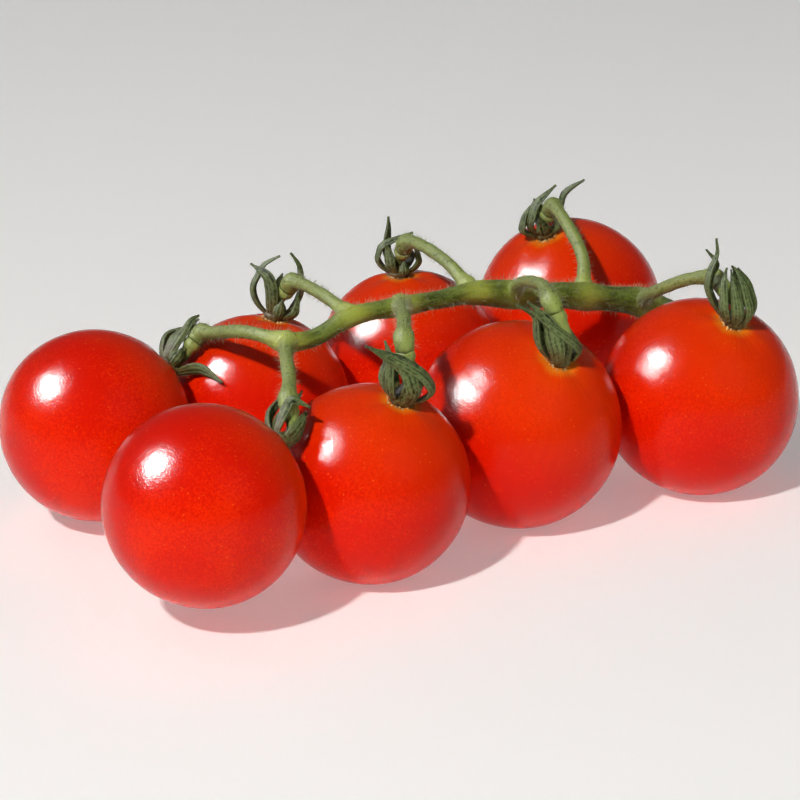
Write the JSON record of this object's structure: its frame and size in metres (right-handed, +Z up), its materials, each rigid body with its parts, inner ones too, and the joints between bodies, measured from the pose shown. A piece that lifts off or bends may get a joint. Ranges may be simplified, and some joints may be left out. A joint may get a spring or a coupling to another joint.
{
  "type": "truss of tomatoes",
  "caption": "Truss of round ripe tomatoes lying on a surface, hung in two rows from one cut green stem by kneed pedicels and upturned calyces.",
  "frame": {"origin": "middle of the truss's bounding box, on the surface that it lies on", "axes": "+Z up from the surface; +Y from the front row of fruit towards the back row; +X from the forked tip of the stem towards its cut end"},
  "size_m": [0.152, 0.1484, 0.053],
  "materials": {
    "skin": "smooth, glossy, waxy fruit skin",
    "sepal": "matt, finely hairy green leaf",
    "stem": "matt, finely hairy green stem"
  },
  "bodies": {
    "root": {"truss_stem": "stem", "tomato_1": "skin", "tomato_2": "skin", "tomato_3": "skin", "tomato_4": "skin", "tomato_5": "skin", "tomato_6": "skin", "tomato_7": "skin", "tomato_8": "skin", "calyx_1": "sepal", "calyx_2": "sepal", "calyx_3": "sepal", "calyx_4": "sepal", "calyx_5": "sepal", "calyx_6": "sepal", "calyx_7": "sepal", "calyx_8": "sepal"}
  },
  "joints": []
}
